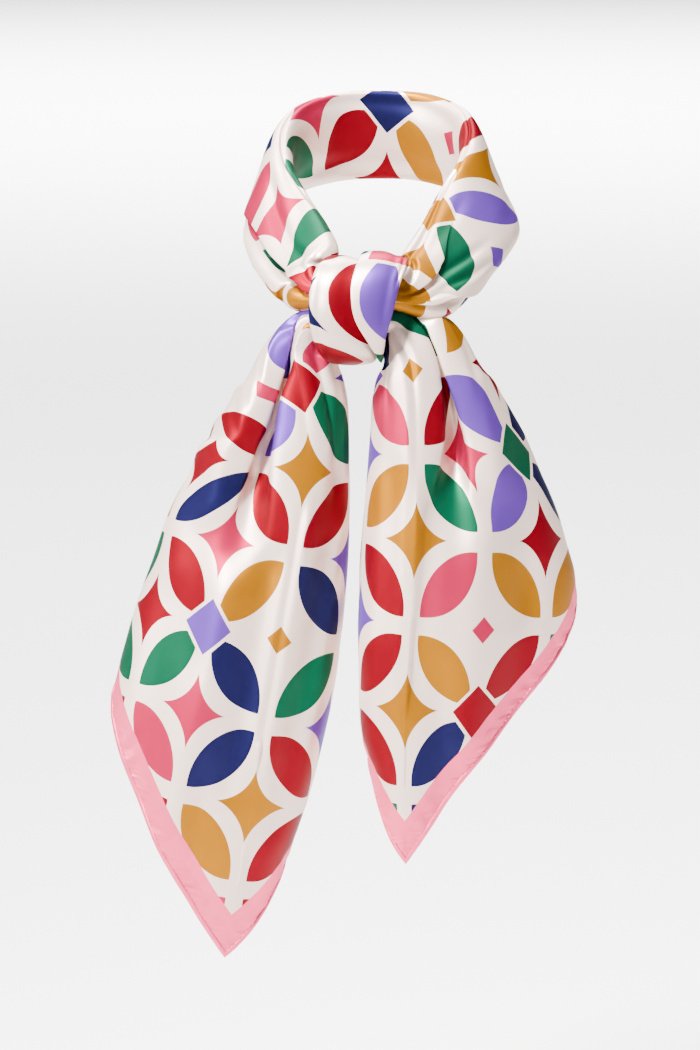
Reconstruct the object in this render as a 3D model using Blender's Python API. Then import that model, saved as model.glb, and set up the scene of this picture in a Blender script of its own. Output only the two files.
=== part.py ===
"""Silk square scarf, 90 x 90 cm, folded on the bias and tied round an unseen neck.

One square of silk twill with a narrow stitched hem is gathered along its diagonal, wound once
round the neck as a soft roll, and tied in front. What shows falls into four stretches: the roll
round the neck, the wrap of the knot, and the two pointed ends that hang from it. The packed
layers inside the knot share one rounded core.

Axes: +X to the viewer's right, -Y to the front, +Z up. The origin is the middle of the neck
opening, where the wearer's neck holds the scarf. Tables and sizes are in millimetres.
"""

import math
from collections import namedtuple

import bpy
import numpy as np

MM = 0.001
GAP = 0.3  # clearance between neighbouring pieces

CLOTH_WALL = 1.3  # the silk with its folded-in slack, as a wall
HEM_WALL = 2.4  # the hem is the same silk turned twice
HEM_WIDTH = 5.0

NECK_STEPS, NECK_SIDES = 60, 32  # sections of the roll, and points round each
WRAP_STEPS, WRAP_SIDES = 40, 24  # the same for the knot's wrap
ROW_SPACING = 15.0  # between a hanging end's rows, about
CURVE_POINTS = 24  # a panel's curve is worked out on this many points, then shared out
NUDGE = 1.0  # a path's direction is read this far to each side of a place on it

IVORY = (0.93, 0.88, 0.84)  # the print's ground
SATIN_ROUGHNESS = 0.38

# ---------------------------------------------------------------- the roll round the neck
# One row a section, from the left mouth of the knot, round the nape, to the right mouth.
# turn: degrees round the neck from the nape. x, y, z: middle of the roll. lean: how far its
# upper edge leans in to the neck. wide, thick: the flattened roll's own size.
NECK_ROLL = [
    # turn,    x,     y,    z, lean, wide, thick
    (-176, -33.4, -83.5, -29.0, 6, 17, 16),
    (-170, -39.0, -83.5, -29.0, 10, 18, 17),
    (-160, -46.0, -78.0, -27.0, 26, 25, 20),
    (-142, -48.0, -66.0, -21.0, 36, 41, 22),
    (-125, -56.5, -47.0, -12.0, 38, 47, 22),
    (-108, -64.0, -25.0, 1.5, 33, 51, 22),
    (-90, -67.0, -2.0, 16.0, 27, 53, 21),
    (-72, -63.0, 20.0, 30.5, 19, 53, 20),
    (-52, -51.5, 41.0, 42.5, 13, 54, 18),
    (-28, -30.0, 58.0, 49.5, 7, 54, 16),
    (0, -1.0, 63.0, 51.5, 4, 54, 15),
    (28, 28.5, 58.0, 49.5, 7, 54, 16),
    (52, 50.0, 41.0, 41.5, 15, 54, 18),
    (72, 59.5, 20.0, 30.0, 25, 55, 20),
    (90, 61.5, -2.0, 15.5, 37, 57, 21),
    (108, 55.5, -25.0, 2.0, 46, 57, 22),
    (125, 46.5, -47.0, -10.5, 48, 51, 22),
    (142, 34.0, -66.0, -20.0, 43, 40, 22),
    (160, 21.0, -77.5, -26.5, 28, 26.5, 20.5),
    (169, 9.0, -83.5, -29.0, 10, 18, 17),
    (176, 0.9, -83.5, -29.0, 6, 17, 16),
]
# Folds pressed into the roll. place: degrees round the section, 0 on the outer face, 90 on the
# upper edge, 180 on the inner face. spread: how many degrees of the section the fold takes.
NECK_FOLDS = [
    # from, to, place_from, place_to, depth, spread
    (-190, -70, -46, -58, 6.5, 12),
    (-190, -105, 10, 44, 3.6, 12),
    (-80, 90, 206, 222, 2.0, 14),
    (75, 190, 50, 12, 5.0, 12),
    (100, 190, -58, -24, 5.5, 13),
    (-60, 60, 124, 146, 1.6, 13),
    (-50, 50, 8, -12, 2.4, 14),
    (-155, 155, -88, -92, 2.0, 9),
    (-120, 130, 84, 92, 1.4, 8),
]

NECK_ROUNDNESS = 2.5  # 2 is an ellipse, more is flatter-sided
FOLD_EASE = 22.0  # degrees over which a fold rises from nothing

# ---------------------------------------------------------------- the knot
KNOT = (-14.0, -84.0, -39.5)  # middle of the knot
WRAP_DEEP = 19.0  # ring's half depth, to the middle of the wrap's own thickness
WRAP_TALL = 28.5  # ring's half height, the same way
# One row a section round the ring. around: degrees, 0 in front, 90 on top. left, right: how far
# the wrap reaches to each side of the knot's middle. thick: its folded layers.
KNOT_WRAP = [
    # around, left, right, thick
    (-60, 22.0, 15.5, 9.4),
    (-30, 26.5, 19.0, 10.6),
    (0, 28.5, 22.0, 11.0),
    (30, 27.5, 25.0, 10.6),
    (60, 24.0, 28.0, 9.6),
    (90, 19.5, 28.0, 8.6),
    (130, 17.5, 23.0, 8.0),
    (180, 20.0, 19.0, 8.0),
    (230, 19.5, 14.5, 8.0),
    (270, 18.5, 12.5, 8.4),
    (300, 22.0, 15.5, 9.4),
    (330, 26.5, 19.0, 10.6),
]
# Folds of the wrap, as for the roll. place: 0 on its outer face, 90 on its right edge.
WRAP_FOLDS = [
    # from, to, place_from, place_to, depth, spread
    (-25, 120, 8, -4, 3.6, 8),
    (-120, -10, 68, 10, 3.2, 9),
    (-55, 110, -46, -40, 2.0, 9),
    (-20, 125, 46, 38, 1.6, 8),
]
WRAP_ROUNDNESS = 2.2
CORE_LEFT = NECK_ROLL[0][1] + GAP  # the core's side faces, where the roll's ends reach it
CORE_RIGHT = NECK_ROLL[-1][1] - GAP
CORE_DEEP, CORE_TALL = 12.4, 22.2  # the core's half depth and half height, inside the ring
# One row a section of the core. inset: from a side face. share: of its full depth and height.
CORE_ENDS = [
    # inset, share
    (0.0, 0.86),
    (4.0, 0.97),
    (10.0, 1.0),
]

# ---------------------------------------------------------------- the hanging ends
# One row a section, from the tip up to the knot. s: distance from the tip along the square's
# diagonal. x, y, z: the front panel's crest. left, right: how far the panel reaches to its
# folded edges. deep_l, deep_r: how far back those edges lie. flat_l, flat_r: how much cloth
# the panel takes to reach them. turn: radius of the fold behind. valley: how deep a fold runs
# down the panel, at this far to the right of its crest.
EndRow = namedtuple("EndRow", "s x y z left right deep_l deep_r flat_l flat_r turn valley at")
LEFT_END = [
    #  s,     x,      y,      z, left, right, deep_l, deep_r, flat_l, flat_r, turn, valley, at
    (0, -92.4, -82.0, -421.0, 88, 20, 50, 30, 130, 46, 9.0, 0.0, -20),
    (25, -88.1, -87.0, -395.0, 88, 20, 50, 30, 130, 46, 9.0, 0.0, -20),
    (45, -84.7, -91.0, -375.0, 88, 22, 51, 30, 130, 46, 9.0, 0.0, -20),
    (70, -80.4, -95.0, -349.5, 88, 27.5, 52, 31, 130, 47, 9.0, 0.0, -20),
    (100, -75.2, -98.5, -319.5, 89, 32, 53, 32, 130, 52, 9.0, 0.0, -20),
    (130, -70.0, -101.0, -289.5, 89, 34.5, 54, 33, 130, 56, 9.0, 0.0, -20),
    (160, -64.8, -102.0, -259.5, 88, 35.5, 53, 34, 129, 58, 9.0, 0.0, -21),
    (190, -59.7, -102.5, -229.5, 86, 35, 51, 34, 126, 58, 9.0, 0.0, -22),
    (220, -54.5, -102.5, -199.0, 81, 33, 47, 32, 120, 57, 8.5, 1.0, -23),
    (250, -49.3, -102.0, -169.5, 77, 30, 42, 29, 112, 54, 8.0, 4.5, -24),
    (280, -45.0, -100.0, -140.0, 68.5, 26, 35, 25, 100, 50, 7.0, 11.0, -23),
    (310, -43.0, -97.0, -110.5, 55.5, 23.4, 27, 20, 84, 44, 6.0, 15.0, -19),
    (330, -46.0, -94.0, -91.0, 42, 25, 21, 17, 68, 40, 5.0, 13.0, -13),
    (345, -49.0, -91.5, -77.0, 27.5, 24, 16, 14, 52, 36, 4.0, 8.0, -8),
    (360, -51.5, -89.0, -63.0, 16, 16.5, 13, 12, 40, 33, 3.4, 3.0, -3),
    (374, -44.0, -87.5, -50.0, 11, 11, 10, 10, 32, 30, 3.0, 0.0, 0),
    (386, -34.1, -87.5, -50.0, 9.5, 9.5, 9, 9, 28, 28, 3.0, 0.0, 0),
]
RIGHT_END = [
    #  s,    x,      y,      z, left, right, deep_l, deep_r, flat_l, flat_r, turn, valley, at
    (0, 14.0, -84.0, -365.5, 17, 78, 30, 58, 46, 147, 9.0, 0.0, 20),
    (25, 13.4, -88.0, -340.0, 17, 79, 30, 58, 46, 147, 9.0, 0.0, 20),
    (45, 13.0, -92.0, -319.0, 17.5, 81, 30, 59, 47, 147, 9.0, 0.0, 20),
    (70, 13.3, -95.5, -293.5, 22.4, 84, 31, 60, 50, 147, 9.0, 0.0, 20),
    (100, 14.0, -99.0, -262.5, 26, 88, 33, 61, 54, 147, 9.0, 0.0, 20),
    (130, 15.9, -101.5, -232.0, 29, 92, 35, 62, 57, 150, 9.0, 0.0, 20),
    (150, 17.2, -102.0, -212.0, 30.2, 95, 36, 61, 59, 150, 9.0, 0.0, 20),
    (170, 18.3, -102.0, -191.5, 31.2, 95, 36, 58, 60, 145, 9.0, 0.5, 19),
    (190, 19.3, -101.5, -171.5, 30.7, 90, 35, 53, 59, 138, 9.0, 3.5, 18),
    (220, 19.6, -100.0, -141.5, 28.6, 79, 31, 44, 55, 122, 8.0, 9.0, 17),
    (250, 19.5, -97.5, -111.5, 28, 65.5, 27, 35, 52, 100, 7.0, 14.0, 15),
    (280, 18.0, -94.5, -82.0, 28.5, 49.5, 20, 25, 46, 74, 5.0, 13.0, 13),
    (298, 15.0, -91.5, -66.0, 17.5, 33, 14, 18, 38, 56, 4.0, 7.0, 10),
    (310, 9.5, -89.0, -56.0, 12, 20, 11, 13, 33, 42, 3.2, 2.0, 4),
    (321, 6.0, -87.5, -50.5, 10.5, 11.5, 9.5, 9.5, 30, 30, 3.0, 0.0, 0),
    (330, 1.6, -87.5, -50.0, 9.5, 10, 9, 9, 28, 28, 3.0, 0.0, 0),
]
ARCH = 1.9  # roundness of the panel from its crest to each folded edge
PANEL_STEPS = 8  # columns from the crest to a folded edge
FLAP_STEPS = 7  # columns across a flap behind the panel
TURN_STEPS = 3  # of these, the columns round the fold itself
FOLD_POINTS = 7  # points that the fold itself is worked out on
VALLEY_WIDTH = 9.0
INNER_TURN = 0.4  # the inner flap's fold, as a share of the outer one's
FLAP_SHORT = 2.0  # how far short of the other folded edge the outer flap ends
FLAP_CLEAR = 2.0  # how far behind the inner flap's fold it lies there


def silk(name):
    """Satin-faced silk in the print's ground colour."""
    material = bpy.data.materials.new(name)
    material.use_nodes = True
    shader = material.node_tree.nodes["Principled BSDF"]
    shader.inputs["Base Color"].default_value = (*IVORY, 1.0)
    shader.inputs["Roughness"].default_value = SATIN_ROUGHNESS
    shader.inputs["Metallic"].default_value = 0.0
    return material


def eased(table, at):
    """The row of a table at a place between its rows, on a smooth curve through them all."""
    rows = np.array(table, float)
    keys = rows[:, 0]
    at = min(max(at, keys[0]), keys[-1])
    k = int(min(max(np.searchsorted(keys, at) - 1, 0), len(keys) - 2))
    step = keys[k + 1] - keys[k]
    share = (at - keys[k]) / step
    slopes = np.gradient(rows, keys, axis=0)
    a, b = rows[k], rows[k + 1]
    ease_in = slopes[k] * step
    ease_out = slopes[k + 1] * step
    return (
        (2 * share**3 - 3 * share**2 + 1) * a
        + (share**3 - 2 * share**2 + share) * ease_in
        + (3 * share**2 - 2 * share**3) * b
        + (share**3 - share**2) * ease_out
    )


def unit(vector):
    return vector / np.linalg.norm(vector)


def bump(away, spread):
    """A soft round trough's share of its depth, this far from its middle."""
    return math.exp(-((away / spread) ** 2))


def window(at, start, end, ease):
    """1 between start and end, easing to 0 outside them."""
    rise = min(max((at - start) / ease, 0.0), 1.0)
    fall = min(max((end - at) / ease, 0.0), 1.0)
    return (rise * rise * (3 - 2 * rise)) * (fall * fall * (3 - 2 * fall))


def folded_in(folds, at, place):
    """How far the folds press the roll in, at this place round its section."""
    depth = 0.0
    for start, end, place_from, place_to, deep, spread in folds:
        share = min(max((at - start) / (end - start), 0.0), 1.0)
        middle = place_from + (place_to - place_from) * share
        away = (place - middle + 180.0) % 360.0 - 180.0
        depth += deep * window(at, start, end, FOLD_EASE) * bump(away, spread)
    return depth


def roll_section(middle, across, outward, form, folds, at, sides):
    """Points round one section of a flattened roll of cloth, its folds pressed in."""
    wide, thick, roundness = form
    points = []
    for k in range(sides):
        place = 360.0 * k / sides
        angle = math.radians(place)
        rise, out = math.sin(angle), math.cos(angle)
        rounding = (abs(rise) ** roundness + abs(out) ** roundness) ** (-1 / roundness)
        press = folded_in(folds, at, place)
        radial = np.array([out * rounding * thick / 2, rise * rounding * wide / 2])
        radial -= unit(np.array([out * wide, rise * thick])) * press
        points.append(middle + outward * radial[0] + across * radial[1])
    return points


def neck_section(turn, sides):
    """One section of the roll round the neck."""
    _, x, y, z, lean, wide, thick = eased(NECK_ROLL, turn)
    before = eased(NECK_ROLL, turn - NUDGE)[1:4]
    after = eased(NECK_ROLL, turn + NUDGE)[1:4]
    along = unit(after - before)
    outward = unit(np.cross((0.0, 0.0, 1.0), along))
    upward = np.cross(along, outward)
    tilt = math.radians(lean)
    across = upward * math.cos(tilt) - outward * math.sin(tilt)
    facing = outward * math.cos(tilt) + upward * math.sin(tilt)
    middle = np.array([x, y, z])
    form = (wide, thick, NECK_ROUNDNESS)
    return roll_section(middle, across, facing, form, NECK_FOLDS, turn, sides)


def wrap_section(around, sides):
    """One section of the wrap. around: degrees over the knot, 0 in front, 90 on top."""
    angle = math.radians(around)
    ahead, up = math.cos(angle), math.sin(angle)
    _, left, right, thick = eased(KNOT_WRAP, around)
    middle = np.array(KNOT) + (
        (right - left) / 2,
        -ahead * WRAP_DEEP,
        up * WRAP_TALL,
    )
    outward = unit(np.array([0.0, -ahead / WRAP_DEEP, up / WRAP_TALL]))
    across = np.array([1.0, 0.0, 0.0])
    form = (left + right, thick, WRAP_ROUNDNESS)
    at = around if around < 180 else around - 360
    return roll_section(middle, across, outward, form, WRAP_FOLDS, at, sides)


def object_from(name, points, faces):
    """One object in its own silk, from its points, in millimetres, and its faces."""
    mesh = bpy.data.meshes.new(name)
    mesh.from_pydata([tuple(p * MM) for p in points], [], faces)
    mesh.materials.append(silk(name + "_silk"))
    mesh.update()
    made = bpy.data.objects.new(name, mesh)
    bpy.context.scene.collection.objects.link(made)
    mesh.shade_smooth()
    return made


def lofted(name, sections, ring):
    """Sections joined side by side: closed into a ring, or capped at both ends."""
    sides = len(sections[0])
    count = len(sections)
    points = [p for section in sections for p in section]
    faces = []
    for i in range(count if ring else count - 1):
        here, there = i * sides, (i + 1) % count * sides
        for k in range(sides):
            n = (k + 1) % sides
            faces.append((here + k, here + n, there + n, there + k))
    if not ring:
        faces.append(tuple(reversed(range(sides))))
        faces.append(tuple(range((count - 1) * sides, count * sides)))
    return object_from(name, points, faces)


def core_section(x, sides, share):
    """One section of the knot's packed core, across x. share: of its full height and depth."""
    points = []
    for k in range(sides):
        angle = 2 * math.pi * k / sides
        rise, out = math.sin(angle), math.cos(angle)
        rounding = (abs(rise) ** WRAP_ROUNDNESS + abs(out) ** WRAP_ROUNDNESS) ** (-1 / WRAP_ROUNDNESS)
        deep = CORE_DEEP * rounding * share
        tall = CORE_TALL * rounding * share
        points.append(np.array([x, KNOT[1] + out * deep, KNOT[2] + rise * tall]))
    return points


def arch(reach, deep, side):
    """The panel from its crest to one folded edge: (along the width, back) points."""
    points = []
    for k in range(CURVE_POINTS + 1):
        angle = math.pi / 2 * k / CURVE_POINTS
        out = math.sin(angle) ** (2 / ARCH)
        back = 1.0 - math.cos(angle) ** (2 / ARCH)
        points.append((side * reach * out, deep * back))
    return np.array(points)


def flap(reach, deep, side, inset, far, far_deep):
    """The flap behind: a quarter turn at the folded edge, then straight to its far end."""
    start = np.array([side * reach, deep])
    turned = [
        start + (-side * inset * (1 - math.cos(a)), inset * math.sin(a))
        for a in np.linspace(0, math.pi / 2, FOLD_POINTS)
    ]
    return np.array(turned + [(far, far_deep)])


def placed(path, length):
    """The point this far along a path."""
    steps = np.hypot(*np.diff(path, axis=0).T)
    sums = np.concatenate(([0.0], np.cumsum(steps)))
    return np.array([np.interp(length, sums, path[:, 0]), np.interp(length, sums, path[:, 1])])


def length_of(path):
    return float(np.hypot(*np.diff(path, axis=0).T).sum())


def end_half(row, side, outermost):
    """Half of a section of a hanging end, from the crest out to its flap's far edge."""
    left, right = (row.left, row.deep_l, row.flat_l), (row.right, row.deep_r, row.flat_r)
    reach, deep, flat = left if side < 0 else right
    other, other_deep, _ = right if side < 0 else left
    front = arch(reach, deep, side)
    shrink = length_of(front) / flat
    panel = min(row.s, flat)
    hem = min(HEM_WIDTH, panel / 2) if row.s <= flat else panel / PANEL_STEPS
    marks = [(panel - hem) * k / (PANEL_STEPS - 1) for k in range(1, PANEL_STEPS)] + [panel]
    points = []
    for mark in marks:
        point = placed(front, mark * shrink)
        points.append(point + (0.0, row.valley * bump(point[0] - row.at, VALLEY_WIDTH)))
    if row.s <= flat:
        return points
    if outermost:
        inset, short, clear = row.turn, FLAP_SHORT, row.turn + FLAP_CLEAR
    else:
        inset, short, clear = row.turn * INNER_TURN, row.turn + 1.0, 1.0
    behind = flap(reach, deep, side, inset, -side * (other - short), other_deep + clear)
    longest = length_of(behind)
    reach_behind = min((row.s - flat) * shrink, longest)
    round_fold = min(math.pi / 2 * row.turn, reach_behind * TURN_STEPS / FLAP_STEPS)
    hem = min(HEM_WIDTH, (reach_behind - round_fold) / 2)
    level = reach_behind - round_fold - hem
    for k in range(1, TURN_STEPS + 1):
        points.append(placed(behind, round_fold * k / TURN_STEPS))
    flats = FLAP_STEPS - TURN_STEPS
    for k in range(1, flats):
        points.append(placed(behind, round_fold + level * k / (flats - 1)))
    points.append(placed(behind, reach_behind))
    return points


def end_row(table, s, outer_side):
    """One row of a hanging end's cloth, in space: from the crest out to the left and right."""
    row = EndRow(*eased(table, s))
    middle = np.array([row.x, row.y, row.z])
    before, after = eased(table, s - NUDGE)[1:4], eased(table, s + NUDGE)[1:4]
    along = unit(after - before)
    lateral = unit(np.cross((0.0, 1.0, 0.0), along))
    back = np.cross(along, lateral)
    crest = middle + back * row.valley * bump(row.at, VALLEY_WIDTH)
    sides = []
    for side in (-1, 1):
        half = end_half(row, side, side == outer_side)
        sides.append([middle + lateral * u + back * v for u, v in half])
    return crest, sides[0], sides[1]


def hanging_end(name, table, outer_side):
    """A pointed end: one wall of silk, its sides folded behind, thicker along its hems."""
    lengths = [row[0] for row in table]
    rows_at = []
    for a, b in zip(lengths, lengths[1:]):
        steps = max(1, round((b - a) / ROW_SPACING))
        rows_at += [a + (b - a) * k / steps for k in range(steps)]
    rows_at.append(lengths[-1])
    points, faces, hems = [eased(table, 0.0)[1:4]], [], [0]
    strips = {-1: [0], 1: [0]}
    for s in rows_at[1:]:
        crest, left, right = end_row(table, s, outer_side)
        crest_at = len(points)
        points.append(crest)
        for side, half in ((-1, left), (1, right)):
            here = [crest_at] + list(range(len(points), len(points) + len(half)))
            points += half
            before = strips[side]
            for k in range(len(here) - 1):
                last = len(before) - 1
                quad = [before[min(k, last)], before[min(k + 1, last)], here[k + 1], here[k]]
                face = [v for n, v in enumerate(quad) if v not in quad[:n]]
                faces.append(tuple(face if side > 0 else reversed(face)))
            strips[side] = here
            hems.append(here[-1])
    made = object_from(name, points, faces)
    thick = made.vertex_groups.new(name="thickness")
    thick.add(list(range(len(points))), CLOTH_WALL / HEM_WALL, "REPLACE")
    thick.add(hems, 1.0, "REPLACE")
    wall = made.modifiers.new("wall", "SOLIDIFY")
    wall.thickness = HEM_WALL * MM
    wall.offset = 0.0
    wall.use_even_offset = False
    wall.vertex_group = "thickness"
    return made


def clear_scene():
    for old in list(bpy.data.objects):
        bpy.data.objects.remove(old)


def main():
    clear_scene()
    turns = np.linspace(NECK_ROLL[0][0], NECK_ROLL[-1][0], NECK_STEPS)
    lofted("neck_roll", [neck_section(t, NECK_SIDES) for t in turns], ring=False)
    arounds = [KNOT_WRAP[0][0] + 360.0 * k / WRAP_STEPS for k in range(WRAP_STEPS)]
    lofted("knot_wrap", [wrap_section(a, WRAP_SIDES) for a in arounds], ring=True)
    left = [core_section(CORE_LEFT + inset, WRAP_SIDES, share) for inset, share in CORE_ENDS]
    right = [core_section(CORE_RIGHT - inset, WRAP_SIDES, share) for inset, share in CORE_ENDS]
    lofted("knot_core", left + right[::-1], ring=False)
    hanging_end("left_end", LEFT_END, -1)
    hanging_end("right_end", RIGHT_END, 1)


main()
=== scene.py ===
"""Dresses the knotted silk square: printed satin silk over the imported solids, hems and stitches.

Every stretch of cloth is a thin shell on the same sizes as its solid, with its folds pressed in
and its layers lapped over each other. Tables and sizes are in millimetres.
"""

import math
from collections import namedtuple

import bpy
import numpy as np
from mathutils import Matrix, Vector


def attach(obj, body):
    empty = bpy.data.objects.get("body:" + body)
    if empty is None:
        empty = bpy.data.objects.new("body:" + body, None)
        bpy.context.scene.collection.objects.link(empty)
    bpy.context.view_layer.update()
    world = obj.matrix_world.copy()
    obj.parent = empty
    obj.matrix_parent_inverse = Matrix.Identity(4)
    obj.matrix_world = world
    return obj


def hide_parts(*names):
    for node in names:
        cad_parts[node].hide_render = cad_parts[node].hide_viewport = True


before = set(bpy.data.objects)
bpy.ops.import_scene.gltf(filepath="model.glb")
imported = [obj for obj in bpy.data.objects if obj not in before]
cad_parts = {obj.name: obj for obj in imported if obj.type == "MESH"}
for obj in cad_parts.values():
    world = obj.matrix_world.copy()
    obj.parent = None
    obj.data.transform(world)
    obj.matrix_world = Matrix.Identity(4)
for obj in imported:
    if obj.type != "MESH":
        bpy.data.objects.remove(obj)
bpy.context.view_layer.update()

MM = 0.001
ROOT_2 = math.sqrt(2)
MATH, VECTOR, BUMP = "ShaderNodeMath", "ShaderNodeVectorMath", "ShaderNodeBump"
SILK = 0.45  # the shell's thickness: two layers of silk lying together
ON_BIAS = 45.0  # degrees: the scarf runs along the square's diagonal

# -------- the print, on the flat square
SQUARE = 900.0
BORDER = 17.8
PITCH = 70.25  # between the nodes where the overlapping circles meet: 12 cells across
FIRST_NODE = 28.5  # from the square's edge
PETAL_LONG = 27.5  # half sizes, from here on
PETAL_WIDE = 12.6
STAR_TIP = 22.5
STAR_ARC = 1.22  # centre of a star's hollow side, as a share of its tip's reach
CELL_DIAMOND = 8.0
NODE_DIAMOND = 16.5
DIAMOND_MARGIN = 3.0

# Acid dyes printed on silk, as sRGB hex: deep, because the studio light is bright.
IVORY = "EED3C6"
PINK = "DB4E70"
AMBER = "8C5700"
CRIMSON = "6B0011"
NAVY = "131238"
GREEN = "05462F"
LAVENDER = "56338D"
ROSE = "9C153A"
THREAD = "B83C60"
PAPER = "FAFAF9"
SILK_ROUGHNESS = 0.46
SILK_FINISH = [
    ("IOR", 1.54),
    ("Specular IOR Level", 0.18),  # 0.5 is a plain surface's
    ("Specular Tint", (0.4, 0.4, 0.4, 1.0)),  # the gloss left where the cloth turns away
    ("Metallic", 0.6),  # share of the light that filaments give back in their dye's own colour
]
SILK_GRAIN = 0.5  # how much the gloss is drawn out across the threads
TWILL_DRAWN = 1.5  # half the way between the twill's slanting lines, along a thread
TWILL_STRAYS = 1.5  # how unevenly they run
TWILL_STRENGTH, TWILL_DEEP = 0.05, 0.2
SLUB = 3.8
SLUB_SHARE = 0.4  # of the weave's height
UNEVEN = 45.0  # size of the patches where dye and gloss change slightly
GLOSS_VARIES = 0.08  # of the roughness
DYE_VARIES = 0.12  # of the dye's strength
PUCKER_RUN = 6.5
PUCKER_DEEP = 1.7
PUCKER_FADE = 11.0
PAPER_ROUGHNESS, PAPER_VARIES, PAPER_GRAIN = 0.9, 0.06, 8.0
# The order that a motif's row and column pick its dye from.
DYES = [CRIMSON, AMBER, NAVY, GREEN, CRIMSON, LAVENDER, AMBER, NAVY, ROSE, CRIMSON, GREEN]
# How far that order moves on for a column and for a row, and where it starts.
DIAMOND_STEPS = (3.0, 4.0, 5.0)
MIDDLE_STEPS = (4.0, 7.0, 1.0)
FLAT_PETAL_STEPS = (3.0, 7.0, 0.0)
TALL_PETAL_STEPS = (5.0, 2.0, 6.0)
# Where the rarer motifs stand: steps as above, out of how many, and which of them.
NODE_DIAMONDS = ((1.0, 3.0, 0.0), 5, 2.0)
CELL_DIAMONDS = ((2.0, 1.0, 0.0), 4, 3.0)

# -------- the roll round the neck
# One row a section, from the left mouth of the knot, round the nape, to the right mouth.
# turn: degrees round the neck from the nape. x, y, z: middle of the roll. lean: how far its
# upper edge leans in to the neck. wide, thick: the flattened roll's own size.
NECK_ROLL = [
    # turn,    x,     y,    z, lean, wide, thick
    (-176, -33.4, -83.5, -29, 6, 17, 16),
    (-170, -37.6, -83, -29, 12, 20, 17),
    (-160, -42.6, -77.5, -27, 26, 33, 20),
    (-142, -43.5, -66, -20.5, 36, 47, 22),
    (-125, -51, -47, -10.5, 38, 51, 22),
    (-108, -60.5, -25, 3, 33, 51, 22),
    (-90, -66, -2, 16, 27, 51, 21),
    (-72, -63, 20, 30.5, 19, 53, 20),
    (-52, -51.5, 41, 42.5, 13, 54, 18),
    (-28, -30, 58, 49.5, 7, 54, 16),
    (0, -1, 63, 51.5, 4, 54, 15),
    (28, 28.5, 58, 49.5, 7, 54, 16),
    (52, 50, 41, 41.5, 15, 54, 18),
    (72, 59.5, 20, 30, 25, 55, 20),
    (90, 60.8, -2, 15.8, 37, 56, 21),
    (108, 51.8, -25, 2.4, 46, 53.5, 22),
    (125, 41.2, -47, -10.2, 48, 48.5, 22),
    (142, 30.5, -66, -22.5, 43, 47, 22),
    (160, 20, -77.5, -29, 28, 38, 20.5),
    (169, 9, -83.5, -30, 10, 22, 17),
    (176, 0.9, -83.5, -29, 6, 17, 16),
]
# Soft folds. line: (turn, place) points that it runs through, place being degrees round the
# section: 0 on the outer face, 90 on the upper edge, 180 on the inner face. spread: how many
# degrees of the section the fold takes.
NECK_FOLDS = [
    # line, depth, spread
    ([(-200, -40), (-171, -40), (-163, -18), (-138, -26), (-108, -32), (-90, -50)], 2.6, 9),
    ([(-190, 18), (-171, 18), (-157, 24), (-129, 7), (-116, 12), (-100, 26), (-80, 46)], 2.6, 10),
    ([(-190, 58), (-138, 66)], 1.2, 8),
    ([(84, 84), (114, 64), (136, 49), (158, 45), (170, 10), (190, 10)], 2.8, 9),
    ([(108, -32), (129, -20), (140, -9), (158, -8), (166, -14), (190, -14)], 1.7, 7),
    ([(112, -60), (131, -44), (138, -34), (155, -23), (162, -30), (190, -30)], 1.7, 7),
    ([(140, 76), (190, 58)], 1.4, 7),
    ([(96, 30), (150, 28)], 1, 9),
    ([(60, -14), (112, -34)], 0.9, 10),
    ([(-80, 206), (90, 222)], 2, 14),
    ([(-60, 124), (60, 146)], 1.6, 13),
    ([(-50, 8), (50, -12)], 1.6, 14),
    ([(-155, -88), (155, -92)], 1.6, 9),
    ([(-120, 84), (130, 92)], 1.4, 8),
    ([(34, 168), (60, 186)], 1.6, 12),
    ([(18, 196), (44, 182)], 1.1, 10),
    ([(-46, 170), (-16, 190)], 0.9, 12),
    ([(-96, 140), (-60, 156)], 1.2, 10),
]
# Laps, where one layer lies over the next. toward: 1 where the layer past the line is on top, -1
# where the layer before it is. rise: half the step. reach: how far the upper layer hangs over.
# take_up: silk folded away inside the lap.
LOWER_LEFT = [
    (-225, -24), (-171, -24), (-163, 0), (-150, -1), (-138, -10), (-124, -16), (-108, -16),
    (-96, -25), (-84, -44), (-72, -64),
]
UPPER_RIGHT = [(104, 34), (128, 17), (136, 8), (147, 4), (160, -1), (166, -7), (225, -7)]
LOWER_RIGHT = [(88, -86), (118, -76), (137, -66), (145, -49), (154, -35), (162, -34), (225, -34)]
NECK_LAPS = [
    # line, toward, rise, reach, take_up
    (LOWER_LEFT, 1, 3.2, 5, 12),
    (UPPER_RIGHT, 1, 1.3, 3, 8),
    (LOWER_RIGHT, 1, 1.9, 4.2, 16),
    ([(-72, 20), (84, -10)], -1, 1.2, 3.4, 5),
]
NECK_TWIST = -0.22  # how far the silk winds round the roll, for each unit along it
NECK_START = (330.0, 330.0)  # where on the flat square the roll's left mouth begins
NECK_ROUNDNESS = 2.5  # 2 is an ellipse, more is flatter-sided
FOLD_EASE = 22.0  # degrees over which a fold rises from nothing
NECK_ROWS, NECK_COLUMNS = 224, 214
NECK_SEAM = -90.0  # degrees round the section: its lower edge
SLIM_FROM, SLIM_OVER, SLIM_LEAST = 13.0, 27.0, 0.16  # folds are less deep where a roll is slim
SECTION_PLACES = 721  # the even places that a section's points are picked from

LAP_WIDTH = 5.5  # degrees of the section that a lap's own folds take
LAP_SOFT = 30.0  # degrees over which its two layers settle back
LAP_EASE = 50.0  # degrees along it over which a lap rises from nothing
LAP_HIDES = 0.2  # share of its width in which the folded-away silk goes by
LAP_SINKS, LAP_STANDS = 1.7, 0.7  # shares of the step that the two layers take
LAP_STEEP = 1.4
LAP_CLOSER, LAP_CLOSER_WIDE = 2.6, 2.2  # how much closer points are, over how many widths
STEEPEST = 40.0  # as far as an exponent goes

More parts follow.
